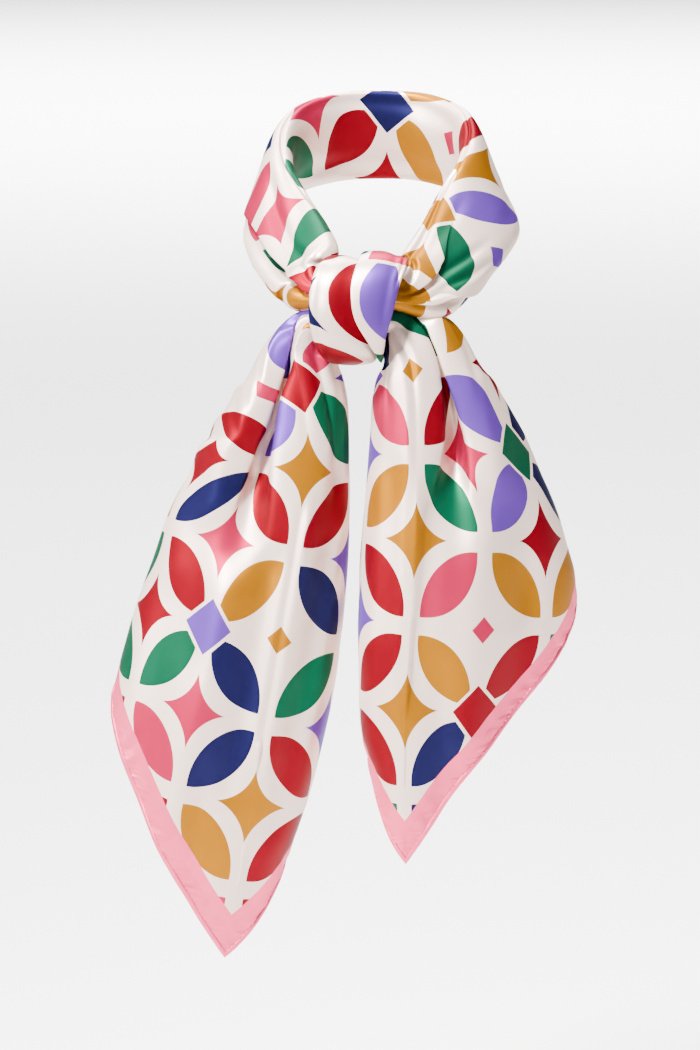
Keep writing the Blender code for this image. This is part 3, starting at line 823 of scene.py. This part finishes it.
def diagonals(tree, x, y):
    """How far a place lies from a middle along each diagonal, times the root of 2, and both."""
    rising = put(tree, MATH, x, y, operation="ADD")
    plus = put(tree, MATH, rising, operation="ABSOLUTE")
    falling = put(tree, MATH, x, y, operation="SUBTRACT")
    minus = put(tree, MATH, falling, operation="ABSOLUTE")
    return plus, minus, put(tree, MATH, plus, minus, operation="ADD")


def within(tree, reach, half_size, how="LESS_THAN"):
    """1 inside a diamond of this half size, or outside it."""
    return put(tree, MATH, reach, half_size * ROOT_2 / PITCH, operation=how)


def hollow_star(tree, plus, minus, reach):
    """1 inside a star of four tips whose sides are hollow arcs."""
    tip = STAR_TIP * ROOT_2 / PITCH
    hub = tip * STAR_ARC  # where the arcs' centres lie
    arc = (hub - tip) ** 2 + hub**2
    from_plus = put(tree, MATH, plus, hub, operation="SUBTRACT")
    from_minus = put(tree, MATH, minus, hub, operation="SUBTRACT")
    squared = put(tree, MATH, from_minus, from_minus, operation="MULTIPLY")
    away = put(tree, MATH, from_plus, from_plus, squared, operation="MULTIPLY_ADD")
    hollow = put(tree, MATH, away, arc, operation="GREATER_THAN")
    near = within(tree, reach, STAR_TIP)
    return put(tree, MATH, hollow, near, operation="MULTIPLY")


def counted(tree, x, y, steps, out_of):
    """A number from 0 up that repeats, from a motif's column and row, by its steps for a column
    and for a row and its start.
    """
    row = put(tree, MATH, y, steps[1], steps[2], operation="MULTIPLY_ADD")
    place = put(tree, MATH, x, steps[0], row, operation="MULTIPLY_ADD")
    return put(tree, MATH, place, float(out_of), operation="FLOORED_MODULO")


def picked_out(tree, x, y, steps, out_of, number):
    """1 for the motifs that have this number."""
    place = counted(tree, x, y, steps, out_of)
    return put(tree, MATH, place, number, 0.5, operation="COMPARE")


def dyed(tree, motif, x, y, steps, below):
    """Adds a motif's dye number, from 1 up, to what lies below it."""
    picked = counted(tree, x, y, steps, len(DYES))
    number = put(tree, MATH, picked, 1.0, operation="ADD")
    return put(tree, MATH, motif, number, below, operation="MULTIPLY_ADD")


def printed_silk():
    """Silk twill, screen printed with flat dyes whose edges are crisp, and a plain dyed border.

    Overlapping circles leave petals along a square net. A star lies between each four.
    """
    material, tree, shader = silk_material("screen_printed_silk_twill", IVORY)
    flat = put(tree, "ShaderNodeUVMap", uv_map="flat")
    half = (0.5, 0.5, 0.5)
    scale = (1 / (PITCH * MM),) * 3
    first = (-FIRST_NODE / PITCH,) * 3
    place = put(tree, VECTOR, flat, scale, first, operation="MULTIPLY_ADD")
    cell = put(tree, VECTOR, place, operation="FLOOR")
    centre = put(tree, VECTOR, cell, half, operation="ADD")
    in_cell = put(tree, VECTOR, place, centre, operation="SUBTRACT")
    ahead = put(tree, VECTOR, place, half, operation="ADD")
    node = put(tree, VECTOR, ahead, operation="FLOOR")
    off_node = put(tree, VECTOR, place, node, operation="SUBTRACT")
    (cell_x, cell_y), (node_x, node_y), (in_x, in_y), (off_x, off_y), (x, y) = (
        put(tree, "ShaderNodeSeparateXYZ", each).node.outputs[:2]
        for each in (cell, node, in_cell, off_node, flat)
    )

    # A diamond on one node in five, with the petals cut back round it.
    _, _, reach = diagonals(tree, off_x, off_y)
    here = picked_out(tree, node_x, node_y, *NODE_DIAMONDS)
    inside = within(tree, reach, NODE_DIAMOND)
    diamond = put(tree, MATH, here, inside, operation="MULTIPLY")
    outside = within(tree, reach, NODE_DIAMOND + DIAMOND_MARGIN, "GREATER_THAN")
    elsewhere = put(tree, MATH, 1.0, here, operation="SUBTRACT")
    clear = put(tree, MATH, outside, elsewhere, operation="MAXIMUM")

    # A star in each cell, and in one of four a small diamond in its place.
    plus, minus, reach = diagonals(tree, in_x, in_y)
    small = picked_out(tree, cell_x, cell_y, *CELL_DIAMONDS)
    inside = within(tree, reach, CELL_DIAMOND)
    star = hollow_star(tree, plus, minus, reach)
    large = put(tree, MATH, 1.0, small, operation="SUBTRACT")
    star = put(tree, MATH, star, large, operation="MULTIPLY")
    middle = put(tree, MATH, inside, small, star, operation="MULTIPLY_ADD")

    flat_petal = petal(tree, in_x, off_y, clear)
    tall_petal = petal(tree, in_y, off_x, clear)
    number = dyed(tree, diamond, node_x, node_y, DIAMOND_STEPS, 0.0)
    number = dyed(tree, middle, cell_x, cell_y, MIDDLE_STEPS, number)
    number = dyed(tree, flat_petal, cell_x, node_y, FLAT_PETAL_STEPS, number)
    number = dyed(tree, tall_petal, node_x, cell_y, TALL_PETAL_STEPS, number)

    # The border, by the distance to the nearest edge of the square.
    low = put(tree, MATH, x, y, operation="MINIMUM")
    high = put(tree, MATH, x, y, operation="MAXIMUM")
    far = put(tree, MATH, SQUARE * MM, high, operation="SUBTRACT")
    edge = put(tree, MATH, low, far, operation="MINIMUM")
    border = put(tree, MATH, edge, BORDER * MM, operation="LESS_THAN")
    field = put(tree, MATH, 1.0, border, operation="SUBTRACT")
    number = put(tree, MATH, number, field, operation="MULTIPLY")
    last = len(DYES) + 1.0
    number = put(tree, MATH, border, last, number, operation="MULTIPLY_ADD")

    stops = [IVORY] + DYES + [PINK]
    middle_of = 0.5 / len(stops)
    step = 1 / len(stops)
    position = put(tree, MATH, number, step, middle_of, operation="MULTIPLY_ADD")
    ramp = put(tree, "ShaderNodeValToRGB", position)
    colours = ramp.node.color_ramp
    colours.interpolation = "CONSTANT"
    for k, dye in enumerate(stops):
        stop = colours.elements[k] if k < 2 else colours.elements.new(k / len(stops))
        stop.position = k / len(stops)
        stop.color = linear(dye)
    uptake = put(tree, "ShaderNodeTexNoise", flat, None, 1 / (UNEVEN * MM), 3.0, 0.5)
    least = 1.0 - DYE_VARIES / 2
    strength = put(tree, MATH, uptake, DYE_VARIES, least, operation="MULTIPLY_ADD")
    colour = put(tree, "ShaderNodeHueSaturation", 0.5, 1.0, strength, 1.0, ramp)
    tree.links.new(colour, shader.inputs["Base Color"])

    # Puckers that the hem's stitches draw into the border, dying out across it.
    run = put(tree, MATH, x, y, operation="ADD")
    often = put(tree, MATH, run, 1 / (PUCKER_RUN * MM), operation="MULTIPLY")
    waves = put(tree, "ShaderNodeTexNoise", None, often, 1.0, 1.0, noise_dimensions="1D")
    fading = put(tree, "ShaderNodeMapRange", edge, 0.0, PUCKER_FADE * MM, 1.0, 0.0)
    puckers = put(tree, MATH, waves, fading, operation="MULTIPLY")
    add_weave(tree, shader, flat, puckers)

    # The gloss runs with the threads, so it is drawn out into bands down each fold.
    threads_run = put(tree, "ShaderNodeTangent", direction_type="UV_MAP", uv_map="flat")
    tree.links.new(threads_run, shader.inputs["Tangent"])
    shader.inputs["Anisotropic"].default_value = SILK_GRAIN
    return material


def plain_silk(name, dye):
    """The same silk in one dye, for the hand-rolled hem and its thread."""
    material, tree, shader = silk_material(name, dye)
    place = put(tree, "ShaderNodeTexCoord").node.outputs["Object"]
    add_weave(tree, shader, place)
    return material


def matte(name, dye):
    """A plain matte surface, slightly uneven."""
    material, tree, shader = one_dye(name, dye)
    place = put(tree, "ShaderNodeTexCoord").node.outputs["Object"]
    grain = put(tree, "ShaderNodeTexNoise", place, None, PAPER_GRAIN, 3.0, 0.5)
    least = PAPER_ROUGHNESS - PAPER_VARIES / 2
    rough = put(tree, MATH, grain, PAPER_VARIES, least, operation="MULTIPLY_ADD")
    tree.links.new(rough, shader.inputs["Roughness"])
    return material


# -------- hems and their stitches
def hem_piece(name, line, material):
    """A rolled hem: a flattened tube along the cloth's edge. Also gives its inner line."""
    edge = np.array([at for at, _ in line])
    outward = np.array([out for _, out in line])
    along = unit(np.gradient(edge, axis=0))
    outward = outward - along * np.sum(outward * along, axis=1, keepdims=True)
    outward = unit(outward)
    outward = unit(outward + np.roll(outward, 1, axis=0) + np.roll(outward, -1, axis=0))
    up = unit(np.cross(along, outward))
    middle = edge - outward * (HEM_WIDE / 2 - HEM_PAST)
    row = np.arange(len(middle))
    fat = 1.0 + sum(high * np.sin(row * turn) for high, turn in HEM_UNEVEN)
    angles = np.linspace(0.0, 2 * math.pi, HEM_SIDES, endpoint=False)[:, None]
    wide = outward[:, None] * np.cos(angles) * HEM_WIDE / 2
    thick = up[:, None] * np.sin(angles) * HEM_THICK / 2 * fat[:, None, None]
    points = (middle[:, None] + wide + thick).reshape(-1, 3)
    faces = tube_faces(len(middle), HEM_SIDES)
    faces.append(tuple(reversed(range(HEM_SIDES))))
    faces.append(tuple(range(len(points) - HEM_SIDES, len(points))))
    corners = [(0.0, 0.0)] * sum(len(face) for face in faces)
    piece = shell(name, points, faces, corners, material, thickness=0.0)
    return piece, middle - outward * HEM_WIDE / 2, up


def stitch_tree(material):
    """Stitches along a curve: short threads, evenly spaced, lying along it."""
    tree = bpy.data.node_groups.new("stitches_along", "GeometryNodeTree")
    face = tree.interface
    face.new_socket("Geometry", in_out="INPUT", socket_type="NodeSocketGeometry")
    for label in ("Spacing", "Length", "Thickness"):
        face.new_socket(label, in_out="INPUT", socket_type="NodeSocketFloat")
    face.new_socket("Geometry", in_out="OUTPUT", socket_type="NodeSocketGeometry")
    curve, spacing, long, thick = put(tree, "NodeGroupInput").node.outputs[:4]
    points = put(tree, "GeometryNodeCurveToPoints", curve, None, spacing, mode="LENGTH")
    ball = put(tree, "GeometryNodeMeshUVSphere", *STITCH_FORM)
    size = put(tree, "ShaderNodeCombineXYZ", thick, thick, long)
    thread = put(tree, "GeometryNodeTransform", ball, None, None, size)
    along = points.node.outputs["Rotation"]
    laid = put(tree, "GeometryNodeInstanceOnPoints", points, None, thread, None, None, along)
    real = put(tree, "GeometryNodeRealizeInstances", laid)
    put(tree, "NodeGroupOutput", put(tree, "GeometryNodeSetMaterial", real, None, material))
    return tree


def stitches(name, line, tree, material):
    """One mesh of stitches along a line."""
    curve = bpy.data.curves.new(name + "_line", "CURVE")
    curve.dimensions = "3D"
    spline = curve.splines.new("POLY")
    spline.points.add(len(line) - 1)
    for point, place in zip(spline.points, line):
        point.co = (*(place * MM), 1.0)
    holder = in_scene(name + "_line", curve)
    modifier = holder.modifiers.new("stitches", "NODES")
    modifier.node_group = tree
    sizes = {"Spacing": STITCH_SPACING, "Length": STITCH_LONG, "Thickness": STITCH_THICK}
    for item in tree.interface.items_tree:
        if item.item_type == "SOCKET" and item.name in sizes:
            modifier[item.identifier] = sizes[item.name] * MM
    evaluated = holder.evaluated_get(bpy.context.evaluated_depsgraph_get())
    mesh = bpy.data.meshes.new_from_object(evaluated)
    mesh.name = name
    bpy.data.objects.remove(holder)
    mesh.materials.clear()
    mesh.materials.append(material)
    piece = in_scene(name, mesh)
    mesh.shade_smooth()
    return piece


# -------- the scarf
def neck_piece(material):
    """The roll round the neck."""
    turns = np.linspace(NECK_ROLL[0][0], NECK_ROLL[-1][0], NECK_ROWS)
    frames, forms = neck_frames(turns)
    points, across, girth = roll_rows(
        frames, forms, NECK_FOLDS, NECK_LAPS, turns, NECK_COLUMNS, NECK_SEAM
    )
    along = along_middles(frames)[:, None] + 0 * across
    twisted = across + NECK_TWIST * (along - along[-1] / 2)
    flat = flat_on(along, twisted, ON_BIAS, NECK_START)
    return woven("silk_roll_round_neck", points, flat, material), (along[-1, 0], girth)


def wrap_piece(material):
    """The strand that goes once round the knot. Its first end is tucked under its last."""
    arounds = np.linspace(*WRAP_TURNS, WRAP_ROWS)
    frames, forms = wrap_frames(arounds)
    points, across, girth = roll_rows(
        frames, forms, WRAP_FOLDS, WRAP_LAPS, arounds, WRAP_COLUMNS, WRAP_SEAM, from_lap=True
    )
    along = along_middles(frames)
    along = (along - np.interp(0.0, arounds, along))[:, None] + 0 * across
    flat = flat_on(along, across, WRAP_ANGLE, WRAP_START)
    return woven("silk_wrap_of_knot", points, flat, material), (float(np.ptp(along)), girth)


def core_piece(material):
    """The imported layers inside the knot, pleated lengthwise and closed by rounded sides."""
    xs = np.linspace(CORE_LEFT, CORE_RIGHT, CORE_ROWS)
    inset = np.minimum(xs - CORE_LEFT, CORE_RIGHT - xs)
    shares = 1.0 - CORE_SHRINK * np.exp(-inset / CORE_SHRINK_OVER)
    bend = np.linspace(0.0, math.pi / 2, CORE_CAP_ROWS + 1)[1:]
    closing = shares[0] * np.maximum(np.cos(bend), CORE_CAP_CLOSED)
    left, right = CORE_CAPS
    xs = np.concatenate(
        [CORE_LEFT - left * np.sin(bend[::-1]), xs, CORE_RIGHT + right * np.sin(bend)]
    )
    shares = np.concatenate([closing[::-1], shares, closing])
    angle = np.linspace(0.0, 2 * math.pi, CORE_COLUMNS + 1)
    rise, out = np.sin(angle), np.cos(angle)
    pleats = 1.0 + sum(high * np.cos(angle * many + at) for high, many, at in CORE_PLEATS)
    reach = rounding_of(rise, out, CORE_ROUNDNESS) * pleats * shares[:, None]
    y = KNOT[1] - out * CORE_DEEP * reach
    z = KNOT[2] + rise * CORE_TALL * reach
    points = np.stack([xs[:, None] + 0 * y, y, z], axis=-1)
    arc = totals(np.linalg.norm(np.diff(points[len(xs) // 2], axis=0), axis=1))
    steps = np.hypot(np.diff(xs), np.diff(shares) * (CORE_DEEP + CORE_TALL) / 2)
    along = totals(steps)[:, None] + 0 * arc
    flat = flat_on(along, arc + 0 * along, ON_BIAS, CORE_START)
    piece = woven("silk_packed_in_knot", points[:, ::-1], flat[:, ::-1], material)
    caps = 2 * math.pi * CORE_DEEP * CORE_TALL * shares[CORE_CAP_ROWS] ** 2
    area = ((CORE_RIGHT - CORE_LEFT) * arc[-1] + caps) * MM * MM
    return piece, (float(along[-1, 0]), float(arc[-1])), float(area)


def declare(piece, node, extra=()):
    """Hangs a piece of cloth and its extras on the root, and hides the solid that it stands in
    for.
    """
    for each in (piece, *extra):
        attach(each, "root")
    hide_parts(node)


def dress():
    """Makes all the cloth, and hides each solid that a piece stands in for."""
    printed = printed_silk()
    hem_silk = plain_silk("pink_silk_rolled_hem", PINK)
    thread = plain_silk("pink_silk_thread", THREAD)
    tree = stitch_tree(thread)

    roll, (long, wide) = neck_piece(printed)
    declare(roll, "neck_roll")
    wrap, (long, wide) = wrap_piece(printed)
    declare(wrap, "knot_wrap")
    core, (long, wide), area = core_piece(printed)
    declare(core, "knot_core")

    # outer: the side whose flap lies outermost. tip: where the end's tip is on the flat square.
    for word, table, folds, outer, tip in (
        ("left", LEFT_END, LEFT_FOLDS, -1, 0.0),
        ("right", RIGHT_END, RIGHT_FOLDS, 1, SQUARE),
    ):
        end, line, area = hanging_end(f"silk_{word}_end", table, folds, outer, tip, printed)
        hem, inner, up = hem_piece(f"rolled_hem_{word}_end", line, hem_silk)
        sewn = stitches(f"hem_stitches_{word}_end", inner - up * STITCH_OFF, tree, thread)
        declare(end, f"{word}_end", (hem, sewn))


# -------- camera, light and floor
def add_camera():
    camera = in_scene("camera", bpy.data.cameras.new("camera"))
    camera.data.sensor_width = CAMERA_SENSOR
    camera.data.lens = CAMERA_LENS
    camera.data.clip_end = CAMERA_SEES
    up = math.radians(CAMERA_ELEVATION)
    back = Vector((0.0, -math.cos(up), math.sin(up)))
    camera.location = CAMERA_AIM + back * CAMERA_AWAY
    camera.rotation_euler = (-back).to_track_quat("-Z", "Y").to_euler()
    bpy.context.scene.camera = camera


def add_studio():
    """A wide pale floor with lights of its own on all sides, a key light from the upper left, a
    small light low on the left for the gloss, a weak fill and a weak top light.
    """
    mesh = bpy.data.meshes.new("studio_floor")
    corners = [(x * FLOOR_REACH, y * FLOOR_REACH, FLOOR) for x, y in FLOOR_CORNERS]
    mesh.from_pydata(corners, [], [(0, 1, 2, 3)])
    mesh.materials.append(matte("white_paper_floor", PAPER))
    in_scene("studio_floor", mesh)

    for name, place, aim, size, power, spread in SOFTBOXES:
        light = in_scene(name, bpy.data.lights.new(name, "AREA"))
        light.data.size = size
        light.data.energy = power
        light.data.spread = math.radians(spread)
        light.location = place
        toward = Vector(aim) - Vector(place)
        light.rotation_euler = toward.to_track_quat("-Z", "Y").to_euler()

    world = bpy.data.worlds.new("studio")
    world.use_nodes = True
    glow = world.node_tree.nodes["Background"]
    glow.inputs["Color"].default_value = WORLD_COLOUR
    glow.inputs["Strength"].default_value = WORLD_STRENGTH
    bpy.context.scene.world = world


add_camera()
add_studio()
dress()
